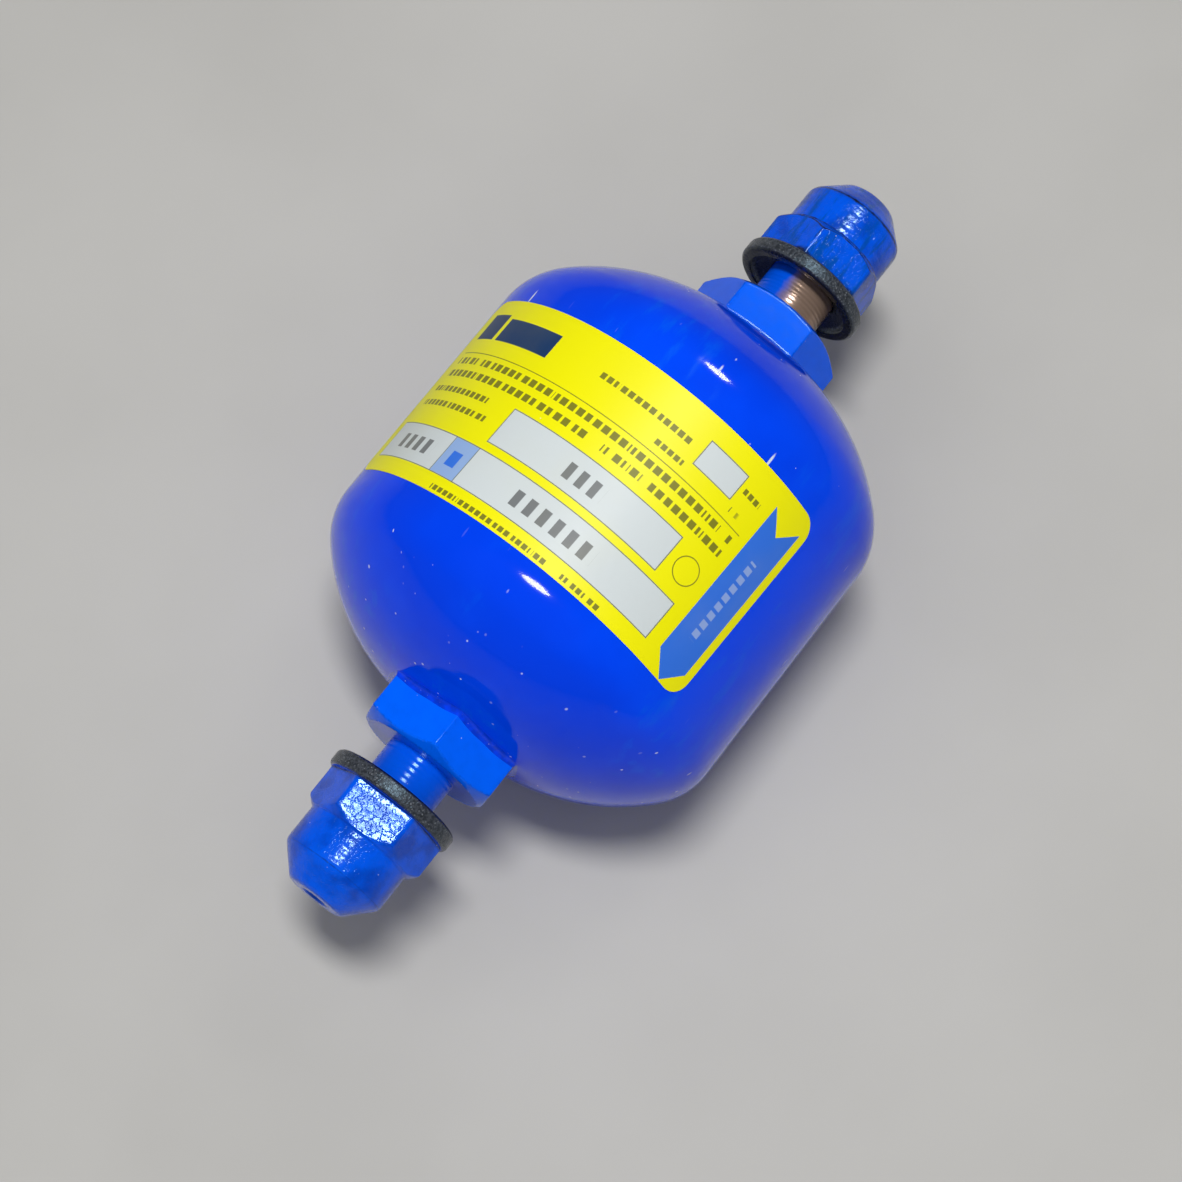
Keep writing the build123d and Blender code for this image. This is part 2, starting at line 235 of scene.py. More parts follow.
def shell_enamel():
    material, shader, place = new_finish("shell_enamel")
    cloud = grain(place, 0.05, 3)
    colour = cloud.rise(0.35, 0.65).cover(COBALT_DEEP, COBALT)
    wipes = {0: place, "Rotation": (0.3, 0.2, 0.5), "Scale": (0.10, 0.45, 0.30)}
    wipe_and_sheen = grain(place.node("Mapping", {}, wipes), 1.0, 5, 0.6).rise(0.50, 0.70)
    wipe_and_sheen = wipe_and_sheen * grain(place, 0.045).rise(0.46, 0.58)
    # Wipe marks: the enamel is rougher along them, and the lighter blue laid on them is a painted sheen.
    colour = (0.75 * wipe_and_sheen).cover(colour, COBALT_PAINTED_SHEEN)
    height = place.node("SeparateXYZ", {}, {0: place}, 2)
    low = height.rise(DUSTY_BELOW, DUSTIEST_AT)
    specks = dots(place, 0.28, 0.10, 0.15) + dots(place, 0.9, 0.03 + 0.12 * low, 0.09)
    nicks = scratches(place, (0.5, 0.2, 0.35), 0.62, 0.14) + scratches(place, (0.9, 0.5, 1.3), 0.9, 0.12)
    marks = (specks + nicks).at_most(1.0)
    peel = grain(place, 0.30, 1)
    feed(
        shader,
        Base_Color=marks.cover(colour, DUST),
        Roughness=0.085 + 0.10 * wipe_and_sheen + 0.10 * grain(place, 0.12, 4) * low + 0.35 * marks,
        Normal=bumped(place, peel + 0.30 * marks, PEEL_DEPTH),
        IOR=1.27,
    )
    return material


outside, inside = shell_end(0.0, 34), shell_end(SHELL_WALL, 16)
shell_loop = outside + [(-x, r) for x, r in outside[-2::-1]]
shell_loop += [(-x, r) for x, r in inside] + inside[-2::-1]
shell_outline = [(x, r, 0.0) for x, r in shell_loop]
shell_angles = np.arange(SHELL_FACETS) * 2 * pi / SHELL_FACETS
shell = skin("shell_skin", lambda angle: shell_outline, shell_angles)
shell.data.materials.append(shell_enamel())
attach(shell, "drier")
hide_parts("shell")

# ---- End fittings
# Free-cutting steel turned from hexagon bar: a spigot through the shell, a chamfered hexagon, a right-hand
# flare thread and a 45 degree flare nose. They are sprayed with the shell, the inlet's thread half masked.
HEX_FLATS = 20.6
HEX_LENGTH = 6.7
HEX_END = SEAT_X + HEX_LENGTH
HEX_FACE = HEX_FLATS / 2 * 0.93
HEX_EDGE = 0.35
HEX_ROWS = (1.2, 3.0)        # extra rows of points up the hexagon's flats, which keep its shading even
CHAMFER = tan(radians(30))
THREAD_RADIUS = 5.5
THREAD_PITCH = 1.27
THREAD_DEPTH = 0.74
THREAD_ROOT_FLAT = 0.07      # half the root's flat and a flank, as shares of the pitch
THREAD_FLANK = 0.34
THREAD_ROWS = 178
PLAIN_NECK = 6.8
RUN_OUT = 1.1
NECK_FILLET = 0.5
NECK_AND_THREAD = 12.4
NOSE_START = HEX_END + NECK_AND_THREAD
NOSE_LENGTH = 2.1
NOSE_X = NOSE_START + NOSE_LENGTH
NOSE_RADIUS = 4.7
BORE_RADIUS = 2.4
TIP_RADIUS = 3.2
SPIGOT_REACH = 1.2
SPIGOT_END = SEAT_X - SHELL_WALL - SPIGOT_REACH
HEX_TURNS = {"inlet": 36.5, "outlet": 11.0}
ENDS = {"inlet": -1, "outlet": 1}


def corner_reach(flats, rounding):
    """Half the angle that one rounded corner of a hexagon takes up, seen from the axis."""
    return pi / 6 - atan2((flats / 2 - rounding) * tan(pi / 6), flats / 2)


def hex_radius(angle, flats, rounding):
    """A hexagon's distance from the axis, and 1 at its rounded corners. The angle is from a corner."""
    away = (angle + pi / 6) % (pi / 3) - pi / 6
    centre = (flats / 2 - rounding) / cos(pi / 6)
    reach = corner_reach(flats, rounding)
    if abs(away) < reach:
        radius = centre * cos(away) + sqrt(rounding**2 - (centre * sin(away)) ** 2)
    else:
        radius = flats / 2 / cos(pi / 6 - abs(away))
    return radius, max(0.0, 1 - abs(away) / (1.6 * reach))


def hex_angles(turn, flats, rounding, on_corner, on_flat):
    """Angles all round, closer together at the six corners."""
    reach = corner_reach(flats, rounding)
    corner = np.linspace(-reach, reach, on_corner)
    flat = np.linspace(reach, pi / 3 - reach, on_flat + 2)[1:-1]
    step = np.concatenate([corner, flat])
    return np.concatenate([step + pi / 3 * side for side in range(6)]) + radians(turn)


def eased(corners, steps=4):
    """Rounds an outline's corners. A corner is (x, radius, reach of the rounding, edge value), and one with
    no reach is kept as it is."""
    points = []
    for i, (x, r, reach, edge) in enumerate(corners):
        here = Vector((x, r))
        if reach == 0 or i in (0, len(corners) - 1):
            points.append((x, r, edge))
            continue
        before = Vector(corners[i - 1][:2]) - here
        after = Vector(corners[i + 1][:2]) - here
        start = here + before.normalized() * min(reach, before.length * 0.45)
        end = here + after.normalized() * min(reach, after.length * 0.45)
        for k in range(steps + 1):
            t = k / steps
            point = start * (1 - t) ** 2 + here * 2 * t * (1 - t) + end * t**2
            points.append((point.x, point.y, max(edge, 1 - abs(2 * t - 1))))
    return points


def thread_radius(x, angle, hand):
    """The thread's form: narrow flat crests and rounded roots, running out in the plain neck."""
    phase = (x - hand * THREAD_PITCH * angle / (2 * pi)) / THREAD_PITCH % 1
    groove = (abs(phase - 0.5) - THREAD_ROOT_FLAT) / THREAD_FLANK
    groove = 1 - min(1.0, max(0.0, groove))
    groove = groove * groove * (3 - 2 * groove) * 0.35 + groove * 0.65
    groove *= min(1.0, max(0.0, (x - HEX_END - PLAIN_NECK) / RUN_OUT))
    lead_in = NOSE_RADIUS + max(0.0, NOSE_START - x)
    return min(THREAD_RADIUS - THREAD_DEPTH * groove, lead_in)


def fitting_outline(angle, turn, hand):
    flat, corner = hex_radius(angle - turn, HEX_FLATS, HEX_EDGE)
    chamfer_x = HEX_END - (flat - HEX_FACE) * CHAMFER
    corners = [
        (SPIGOT_END, BORE_RADIUS, 0, 0), (SPIGOT_END, SPIGOT_RADIUS, 0, 0), (SEAT_X, SPIGOT_RADIUS, 0, 0),
        (SEAT_X, flat, 0, corner), *((SEAT_X + row, flat, 0, corner) for row in HEX_ROWS),
        (chamfer_x, flat, 0.28, corner), (HEX_END, HEX_FACE, 0.2, 0.3),
        (HEX_END, THREAD_RADIUS + NECK_FILLET, 0, 0),
    ]
    points = eased(corners)
    for x in np.linspace(HEX_END + 0.03, NOSE_START, THREAD_ROWS):
        points.append((x, thread_radius(x, angle, hand), 0.0))
    nose = [
        (NOSE_START, NOSE_RADIUS, 0, 0), (NOSE_START + 0.3, NOSE_RADIUS, 0, 0),
        (NOSE_X - (NOSE_RADIUS - TIP_RADIUS), NOSE_RADIUS, 0.15, 0), (NOSE_X, TIP_RADIUS, 0.1, 0),
        (NOSE_X, BORE_RADIUS, 0.1, 0), (NOSE_X - 1, BORE_RADIUS, 0, 0),
    ]
    return points + eased(nose)


FITTING_BLUE = (0.0, 0.130, 1.0, 1)
FITTING_DEEP = (0.0, 0.030, 0.42, 1)
ROOT_SHADE_ON_PAINT = (0.0, 0.008, 0.10, 1)
BARE_STEEL = (0.36, 0.25, 0.19, 1)
ROOT_SHADE_ON_STEEL = (0.13, 0.10, 0.08, 1)
# The marks of the turning tool on each neck: radians to the millimetre, height, and how rough they leave it.
TOOL_MARKS = {"inlet": (9.5, 0.5, 0.10), "outlet": (7.0, 0.6, 0.02)}


def fitting_finish(end, masked):
    material, shader, place = new_finish(f"{end}_fitting_paint")
    x, y, z = (place.node("SeparateXYZ", {}, {0: place}, i) for i in range(3))
    along = x * ENDS[end]
    radius = (y * y + z * z).math("SQRT")
    edge = place.node("Attribute", {"attribute_name": "edge"}, {}, 2)
    on_neck = along.rise(HEX_END - 0.05, HEX_END + 0.15)
    groove = radius.rise(THREAD_RADIUS - 0.05, THREAD_RADIUS - 0.50) * on_neck
    cloud = grain(place, 0.5, 4)
    colour = (cloud.rise(0.35, 0.75) * 0.10).cover(FITTING_BLUE, FITTING_DEEP)
    thin = edge * grain(place, 1.6, 3).rise(0.45, 0.65) * (1 - on_neck)
    colour = (0.45 * thin).cover(colour, FITTING_DEEP)
    colour = (on_neck * 0.35).cover(colour, FITTING_DEEP)
    # Painted shade: everything on the neck below the thread's crests, the thread's roots and the nose, is
    # darkened towards near black.
    colour = (groove * (0.55 + 0.4 * cloud)).cover(colour, ROOT_SHADE_ON_PAINT)
    chips = dots(place, 0.8, 0.10, 0.12) + edge * dots(place, 1.5, 0.35, 0.13)
    colour = chips.at_most(1.0).cover(colour, DUST)
    closeness, mark_height, mark_roughness = TOOL_MARKS[end]
    tool_marks = on_neck * (along * closeness + grain(place, 0.6)).math("SINE") * mark_height
    if masked:  # the tape kept the paint off one side of the neck and thread
        side = y * 0.80 + z * 0.45 + 2.0 * (grain(place, 0.35, 4) - 0.5)
        bare = side.rise(1.2, 3.0) * on_neck
        # On the bare steel the roots and the nose take the same painted shade.
        colour = bare.cover(colour, groove.cover(BARE_STEEL, ROOT_SHADE_ON_STEEL))
        feed(shader, Metallic=0.5 * bare)
    feed(
        shader,
        Base_Color=colour,
        Roughness=0.09 + 0.08 * cloud + 0.12 * groove + mark_roughness * on_neck,
        Normal=bumped(place, grain(place, 0.9, 3) * 0.2 + tool_marks, 0.022),
        IOR=1.31, Specular_Tint=BLUE_SHEEN,
    )
    return material


for end, hand in ENDS.items():
    turn = radians(HEX_TURNS[end])
    piece = skin(
        f"{end}_fitting_turned",
        lambda angle: [(x * hand, r, e) for x, r, e in fitting_outline(angle, turn, -hand)],
        hex_angles(HEX_TURNS[end], HEX_FLATS, HEX_EDGE, 7, 20),
    )
    piece.data.materials.append(fitting_finish(end, masked=end == "inlet"))
    piece.modifiers.new("even shading", "WEIGHTED_NORMAL").keep_sharp = True
    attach(piece, "drier")
    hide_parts(f"{end}_fitting")

# ---- Brazed joints
# A ring of braze drawn in under each hexagon and up its flats, wire-brushed and painted over with the shell.
# It is hollow between the hexagon and the dome, and reaches further out at the hexagon's corners.
BRAZE_LEG = 0.85
BRAZE_CORNER_LEG = 0.4
BRAZE_TOE = HEX_FLATS / 2 + 1.2
BRAZE_CORNER_TOE = HEX_FLATS / 2 + 2.0
BRAZE_ROOT = SPIGOT_RADIUS + 2.0
BRAZE_SUNK = 0.12
BRAZE_PAINTED_SHADE = (0.0, 0.022, 0.38, 1)


def braze_outline(angle, turn):
    flat, _ = hex_radius(angle - turn, HEX_FLATS, HEX_EDGE)
    corner = (flat - HEX_FLATS / 2) / (HEX_FLATS / 2 / cos(pi / 6) - HEX_FLATS / 2)
    wander = 0.08 * sin(3 * angle + 1) + 0.05 * sin(7 * angle) + 0.03 * sin(13 * angle + 2)
    leg = BRAZE_LEG + (BRAZE_CORNER_LEG - BRAZE_LEG) * corner + wander
    toe = BRAZE_TOE + (BRAZE_CORNER_TOE - BRAZE_TOE) * corner + 0.8 * wander
    start, end = Vector((SEAT_X + leg, flat - 0.02)), Vector((dome_at(toe) - 0.02, toe))
    bend = Vector((dome_at(flat + 0.1) + 0.12, flat + 0.12))
    points = []
    for t in np.linspace(0, 1, 13):
        point = start * (1 - t) ** 2 + bend * 2 * t * (1 - t) + end * t**2
        points.append((point.x, point.y, 0.0))
    points += [
        (end.x - 0.10, toe - 0.02, 0), (dome_at(flat) - BRAZE_SUNK, flat, 0),
        (dome_at(BRAZE_ROOT) - BRAZE_SUNK, BRAZE_ROOT, 0), (SEAT_X + 0.06, BRAZE_ROOT, 0),
        (SEAT_X + 0.06, flat - BRAZE_SUNK, 0), (start.x, flat - BRAZE_SUNK, 0),
    ]
    return points


def braze_finish():
    material, shader, place = new_finish("painted_braze")
    cloud = grain(place, 0.8, 3)
    # The ring's blue is darker than the shell's all over, in patches: painted shade in the corner between the
    # hexagon and the dome.
    colour = (cloud.rise(0.3, 0.7) * 0.6).cover(COBALT_DEEP, BRAZE_PAINTED_SHADE)
    grit = dots(place, 0.9, 0.22, 0.12) + dots(place, 2.2, 0.20, 0.08)
    feed(
        shader,
        Base_Color=grit.at_most(0.9).cover(colour, DUST),
        Roughness=0.14 + 0.12 * cloud,
        Normal=bumped(place, grain(place, 0.7, 2), 0.08),
        IOR=1.5, Specular_Tint=BLUE_SHEEN,
    )
    return material


braze_paint = braze_finish()
for end, hand in ENDS.items():
    turn = radians(HEX_TURNS[end])
    piece = skin(
        f"{end}_braze_ring",
        lambda angle: [(x * hand, r, e) for x, r, e in braze_outline(angle, turn)],
        hex_angles(HEX_TURNS[end], HEX_FLATS, HEX_EDGE, 7, 20),
        crease=60,
    )
    piece.data.materials.append(braze_paint)
    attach(piece, "drier")
    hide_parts(f"{end}_braze")

# ---- Label
# Yellow printed film with rounded corners, stuck round the barrel a little askew. It has white boxes with
# fine dark outlines, rows of plain blocks where the wording goes, and a blue arrow that shows the flow.
LABEL_LOW, LABEL_HIGH = -15.85, 15.85
LABEL_CENTRE = 1.0
LABEL_HALF_WRAP = 34.5
LABEL_CORNER = 3.0
LABEL_TURN = -7.5
LABEL_SKEW = 0.035
LABEL_UNDER = 0.01
LABEL_THICKNESS = 0.08
LABEL_ROWS, LABEL_COLUMNS = 281, 41


def label_corners(s):
    """How far the rounded corners cut into each side of the film, at distances s round the barrel."""
    into = np.clip(LABEL_CORNER - (LABEL_HALF_WRAP - np.abs(s)), 0, LABEL_CORNER)
    return LABEL_CORNER - np.sqrt(LABEL_CORNER**2 - into**2)


def label_faces(rows, columns):
    """The film's top, its underside and the rim between them. The underside's points follow the top's."""
    size = rows * columns
    faces = []
    for i in range(rows - 1):
        for j in range(columns - 1):
            a = i * columns + j
            faces.append((a, a + 1, a + columns + 1, a + columns))
            faces.append((size + a, size + a + columns, size + a + columns + 1, size + a + 1))
    rim = list(range(columns)) + [i * columns + columns - 1 for i in range(1, rows)]
    rim += [(rows - 1) * columns + j for j in range(columns - 2, -1, -1)]
    rim += [i * columns for i in range(rows - 2, 0, -1)]
    faces += [(a, size + a, size + b, b) for a, b in zip(rim, rim[1:] + rim[:1])]
    return faces


def label_sheet():
    """The film as one thin solid. Each point's place on the print is kept for the finish."""
    near = LABEL_CORNER * (1 - np.cos(np.linspace(0, pi / 2, 12)))
    straight = LABEL_HALF_WRAP - LABEL_CORNER
    round_values = np.concatenate([
        -LABEL_HALF_WRAP + near, np.linspace(-straight, straight, LABEL_ROWS)[1:-1],
        (LABEL_HALF_WRAP - near)[::-1],
    ])
    cut = label_corners(round_values)
    across = np.linspace(0, 1, LABEL_COLUMNS)
    s = np.repeat(round_values[:, None], LABEL_COLUMNS, 1)
    x = (LABEL_LOW + cut)[:, None] + across[None, :] * (LABEL_HIGH - LABEL_LOW - 2 * cut)[:, None]
    along = x * cos(LABEL_SKEW) + s * sin(LABEL_SKEW) + LABEL_CENTRE
    angle = radians(LABEL_TURN) + (s * cos(LABEL_SKEW) - x * sin(LABEL_SKEW)) / SHELL_RADIUS
    layers = []
    for radius in (SHELL_RADIUS + LABEL_UNDER + LABEL_THICKNESS, SHELL_RADIUS + LABEL_UNDER):
        layers.append(np.stack([along, radius * np.sin(angle), radius * np.cos(angle)], -1).reshape(-1, 3))
    mesh = bpy.data.meshes.new("label_film")
    mesh.from_pydata((np.concatenate(layers) / 1000).tolist(), [], label_faces(*s.shape))
    printed = np.stack([x, s, np.zeros_like(x)], -1).reshape(-1, 3)
    place = mesh.attributes.new("print_place", "FLOAT_VECTOR", "POINT")
    place.data.foreach_set("vector", np.concatenate([printed, printed]).astype(np.float32).ravel())
    piece = bpy.data.objects.new("label_film", mesh)
    bpy.context.scene.collection.objects.link(piece)
    settle(mesh, 40)
    return piece


YELLOW = (0.94, 0.90, 0.0, 1)
PAPER = (0.66, 0.72, 0.74, 1)
CELL_BLUE = (0.30, 0.46, 0.80, 1)
INK = (0.10, 0.10, 0.02, 1)
INK_GREY = (0.14, 0.15, 0.16, 1)
NAVY = (0.012, 0.045, 0.14, 1)
ARROW_BLUE = (0.035, 0.18, 0.80, 1)
ARROW_WORDING = (0.42, 0.55, 0.85, 1)
AGED_YELLOW = (0.62, 0.55, 0.03, 1)
LINT = (0.85, 0.86, 0.80, 1)

# Places on the print are (x0, x1, s0, s1): x runs along the drier, and s round it.
LINE = 0.14
WHITE_BOXES = [(-0.2, 5.85, -10.45, 19.5), (7.05, 13.25, -31.0, 24.6), (-12.8, -8.5, 13.95, 21.05)]
RULES = [(7.05, 13.25, -15.4, -15.28), (7.05, 13.25, -10.55, -10.43), (-6.08, -5.94, -31, 25.5)]
BLUE_CELL = (7.2, 13.1, -15.3, -10.5)
CELL_MARK = (9.1, 11.5, -13.9, -12.0)
BADGES = [(-13.2, -8.6, -31.0, -25.6), (-12.6, -8.6, -24.6, -12.5)]
# Wording is (x, height, s0, s1, where its dashes start), and figures are (x, height, s0, s1, how many).
WORDING = [
    (-4.55, 1.15, -30.5, 25.0, 0.1), (-2.25, 1.15, -30.5, 25.0, 0.6), (0.6, 0.95, -30.5, -15.5, 0.3),
    (3.2, 0.95, -30.5, -13.5, 0.8), (15.0, 0.8, -13.0, 17.5, 0.45), (-10.6, 0.95, -3.5, 12.0, 0.2),
    (-7.6, 0.85, 8.0, 13.0, 0.7), (-7.6, 0.85, 21.8, 25.0, 0.2), (-10.9, 0.85, 21.8, 25.0, 0.4),
]
FIGURES = [(3.0, 2.5, 1.6, 7.9, 3), (10.3, 2.5, -1.5, 12.3, 6), (10.2, 2.4, -26.5, -17.7, 4)]
RING_X, RING_S, RING_RADIUS = 2.8, 22.85, 2.0
ARROW_S, ARROW_HALF_WIDTH, ARROW_TAIL, ARROW_TIP = 30.1, 3.05, -9.9, 15.7
ARROW_DASHES = (-5.2, 8.6, 29.5, 30.7)


def label_finish():
    material, shader, place = new_finish("label_print")
    printed = place.node("Attribute", {"attribute_name": "print_place"}, {}, 1)
    x, s = (place.node("SeparateXYZ", {}, {0: printed}, i) for i in range(2))

    def field(x0, x1, s0, s1, soft=0.04):
        """A printed rectangle."""
        inside_x = x.rise(x0 - soft, x0 + soft) * x.rise(x1 + soft, x1 - soft)
        return inside_x * s.rise(s0 - soft, s0 + soft) * s.rise(s1 + soft, s1 - soft)

    def outlined(x0, x1, s0, s1):
        return field(x0, x1, s0, s1) * (1 - field(x0 + LINE, x1 - LINE, s0 + LINE, s1 - LINE))

    def words(at, tall, s0, s1, shift):
        """A line of wording, drawn as dashes of uneven length, each of them a row of short blocks."""
        wave = (s * 0.9 + shift).math("SINE")
        dash = (s * 0.16 + 0.3 * wave + shift).math("FRACT").rise(0.13, 0.16)
        block = (s * (0.78 / tall) + shift).math("FRACT").rise(0.24, 0.32)
        return field(at - tall / 2, at + tall / 2, s0, s1) * dash * block

    def figures(at, tall, s0, s1, count):
        """Figures, drawn as plain blocks."""
        block = ((s - s0) / ((s1 - s0) / count)).math("FRACT").rise(0.56, 0.50)
        return field(at - tall / 2, at + tall / 2, s0, s1) * block

    white = sum(field(*box) for box in WHITE_BOXES)
    ink = sum(outlined(*box) for box in WHITE_BOXES) + sum(field(*rule) for rule in RULES)
    ink = ink + sum(words(*line) for line in WORDING)
    from_centre = ((x - RING_X) * (x - RING_X) + (s - RING_S) * (s - RING_S)).math("SQRT")
    ink = ink + (from_centre - RING_RADIUS).math("ABSOLUTE").rise(0.12, 0.04)
    marks = sum(figures(*row) for row in FIGURES)
    badge = sum(field(*block, 0.06) for block in BADGES)
    middle = (s - ARROW_S).math("ABSOLUTE")
    arrow = middle.rise(ARROW_HALF_WIDTH + 0.03, ARROW_HALF_WIDTH - 0.03)
    arrow = arrow * (x + middle * 1.06).rise(ARROW_TIP + 0.05, ARROW_TIP - 0.05)
    arrow = arrow * (x + middle).rise(ARROW_TAIL - 0.05, ARROW_TAIL + 0.05)
    lettering = field(*ARROW_DASHES) * (x * 0.62).math("FRACT").rise(0.3, 0.36)
    paper = white.at_most(1.0)
    colour = paper.cover(YELLOW, PAPER)
    colour = field(*BLUE_CELL).cover(colour, CELL_BLUE)
    colour = field(*CELL_MARK).cover(colour, ARROW_BLUE)
    colour = arrow.cover(colour, ARROW_BLUE)
    colour = (lettering * 0.62).cover(colour, ARROW_WORDING)
    colour = (0.85 * ink).at_most(0.85).cover(colour, INK)
    colour = (0.90 * marks).cover(colour, INK_GREY)
    colour = badge.cover(colour, NAVY)
    tone = grain(place, 0.09, 3)
    colour = (0.07 * tone.rise(0.4, 0.8)).cover(colour, AGED_YELLOW)
    colour = dots(place, 0.5, 0.05, 0.12).cover(colour, LINT)
    wrinkle = grain(place, 0.22, 3, 0.6)
    feed(
        shader,
        Base_Color=colour,
        Roughness=0.34 + 0.14 * tone - 0.10 * paper,
        Normal=bumped(place, wrinkle * (0.35 + paper * 0.9) + 0.05 * ink, 0.05),
        IOR=1.32,
    )
    return material


label = label_sheet()
label.data.materials.append(label_finish())
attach(label, "drier")
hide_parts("label")

# ---- Transport caps
# Black moulded plastic, screwed on the threads before painting, so each has a thin, uneven coat of the blue
# on its outside. It is black where the spray missed: under the flange, on rims and along the hexagon's edges.
CAP_GAP = 5.5
CAP_LENGTH = 18.4
CAP_FLANGE_THICKNESS = 2.5
CAP_HEX_LENGTH = 6.0
CAP_CONE_LENGTH = 4.0
CAP_X = HEX_END + CAP_GAP
CAP_FLANGE_X = CAP_X + CAP_FLANGE_THICKNESS
CAP_HEX_X = CAP_FLANGE_X + CAP_HEX_LENGTH
CAP_END = CAP_X + CAP_LENGTH
CAP_CONE_X = CAP_END - CAP_CONE_LENGTH
CAP_FLANGE = 10.2
CAP_LIP = 0.4
CAP_HEX_CORNER = 9.6
CAP_HEX_ROUND = 0.8
CAP_BEVEL = 1.1
CAP_BODY = 8.15
CAP_TIP = 4.4
CAP_DIMPLE = 2.1
CAP_DIMPLE_DEPTH = 0.9
CAP_MOUTH = 8.4
CAP_MOUTH_DEPTH = 1.6
CAP_MOUTH_DRAFT = 0.3
CAP_THREAD_FIT = 0.08
CAP_HOLLOW = THREAD_RADIUS + CAP_THREAD_FIT
SEAL_THICKNESS = 1.5
SEAL_FIT = 0.06
CAP_HOLLOW_X = NOSE_X + SEAL_FIT + SEAL_THICKNESS
CAP_TURNS = {"inlet": 53.0, "outlet": 36.0}
cap_flats = 2 * ((CAP_HEX_CORNER - CAP_HEX_ROUND) * cos(pi / 6) + CAP_HEX_ROUND)


def cap_outline(angle, turn):
    flat, corner = hex_radius(angle - turn, cap_flats, CAP_HEX_ROUND)
    shoulder = CAP_HEX_CORNER - CAP_BEVEL
    bevel_x = CAP_HEX_X - max(0.05, flat - shoulder)
    corners = [
        (CAP_HOLLOW_X, 0, 0, 0), (CAP_HOLLOW_X, CAP_HOLLOW, 0, 0), (NOSE_X - 2, CAP_HOLLOW, 0, 0),
        (CAP_X + CAP_MOUTH_DEPTH, CAP_HOLLOW, 0.2, 0),
        (CAP_X + CAP_MOUTH_DEPTH / 2, CAP_MOUTH - CAP_MOUTH_DRAFT, 0.6, 0.6), (CAP_X, CAP_MOUTH, 0.25, 1),
        (CAP_X, CAP_FLANGE - CAP_LIP, 0.2, 1), (CAP_X + CAP_LIP, CAP_FLANGE, 0.25, 1),
        (CAP_FLANGE_X - CAP_LIP, CAP_FLANGE, 0.25, 0.9), (CAP_FLANGE_X, CAP_FLANGE - CAP_LIP, 0.25, 0.2),
        (CAP_FLANGE_X, flat + 0.02, 0.25, 0.7), (CAP_FLANGE_X + 1.2, flat, 0, 0.35 * corner),
        (bevel_x, flat, 0.4, 0.6 * corner), (CAP_HEX_X, min(flat, shoulder) - 0.05, 0.3, 0.3),
        (CAP_HEX_X + 0.15, CAP_BODY, 0.3, 0), (CAP_HEX_X + 2, CAP_BODY, 0, 0),
        (CAP_CONE_X, CAP_BODY, 0.7, 0.3), (CAP_END, CAP_TIP, 0.6, 0.3), (CAP_END, CAP_DIMPLE, 0.2, 0.8),
        (CAP_END - CAP_DIMPLE_DEPTH, CAP_DIMPLE * 0.6, 0.2, 1), (CAP_END - CAP_DIMPLE_DEPTH, 0, 0, 1),
    ]
    return eased(corners, 6)


CAP_BLACK = (0.007, 0.008, 0.011, 1)
CAP_BLUE = (0.0, 0.100, 0.86, 1)
CAP_BLUE_DEEP = (0.0, 0.030, 0.34, 1)
CAP_TEAL = (0.0, 0.075, 0.42, 1)
FLANGE_SCUFF_SHEEN = (0.060, 0.066, 0.078, 1)
FLANGE_GLINT = (0.34, 0.37, 0.40, 1)
# How much of the blue reached each cap, and how much of it was wiped along the cap.
CAP_COATS = {"inlet": (0.90, 0.90), "outlet": (1.08, 0.10)}


